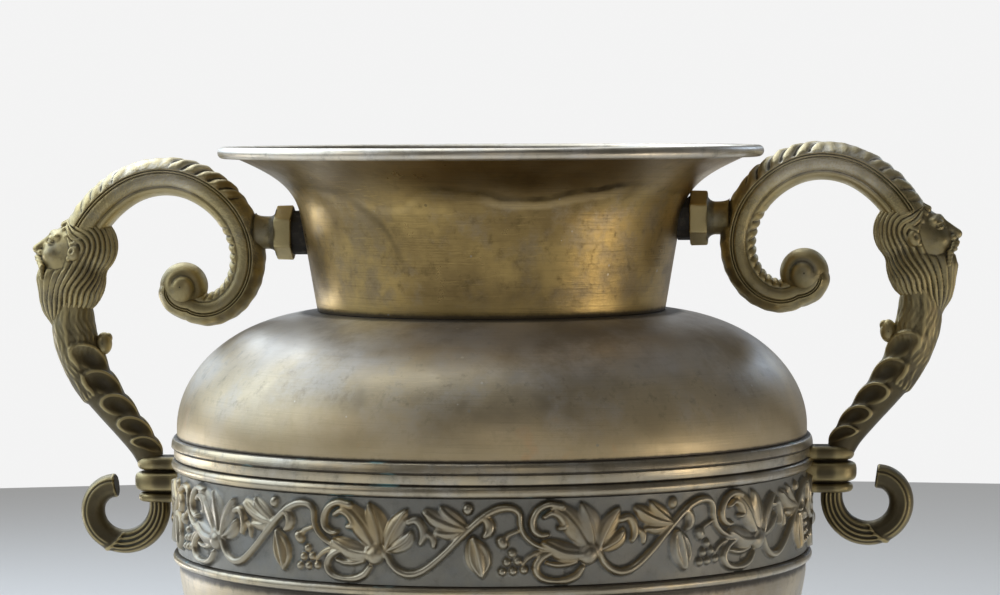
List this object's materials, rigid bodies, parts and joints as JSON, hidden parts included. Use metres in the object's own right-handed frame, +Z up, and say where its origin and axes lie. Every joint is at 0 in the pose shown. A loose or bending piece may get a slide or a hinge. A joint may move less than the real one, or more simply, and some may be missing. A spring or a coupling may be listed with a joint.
{
  "type": "two-handled amphora urn",
  "caption": "Footed brass amphora urn with a flared mouth, domed shoulder, ringed belt with a frieze, and cast scroll handles with bearded masks.",
  "frame": {"origin": "centre of the base, on the surface that the urn stands on", "axes": "+Z up along the urn's axis, +X towards the right handle, -Y towards the viewer"},
  "size_m": [0.463, 0.32, 0.4813],
  "materials": {
    "neck_brass": "satin, brushed round, with a thin brown patina",
    "body_bronze": "satin grey-brown patina with golden rubbed places",
    "relief_bronze": "cast, stippled ground, darker and greener in the recesses",
    "cast_brass": "cast, matte olive-gold with dark recesses",
    "dark_packing": "matte",
    "screw_steel": "dull"
  },
  "bodies": {
    "root": {"rim_bead": "neck_brass", "neck": "neck_brass", "shoulder": "body_bronze", "upper_belt": "body_bronze", "frieze_band": "relief_bronze", "lower_belt": "body_bronze", "bowl": "body_bronze", "stem_knop": "body_bronze", "foot": "body_bronze", "foot_ring": "body_bronze", "tie_rod": "screw_steel", "upper_rod_washer": "screw_steel", "upper_rod_nut": "screw_steel", "lower_rod_washer": "screw_steel", "lower_rod_nut": "screw_steel", "right_handle": "cast_brass", "right_neck_saddle": "dark_packing", "right_neck_washer": "screw_steel", "right_neck_screw": "screw_steel", "right_clasp_washer": "screw_steel", "right_clasp_screw": "screw_steel", "left_handle": "cast_brass", "left_neck_saddle": "dark_packing", "left_neck_washer": "screw_steel", "left_neck_screw": "screw_steel", "left_clasp_washer": "screw_steel", "left_clasp_screw": "screw_steel"}
  },
  "joints": []
}
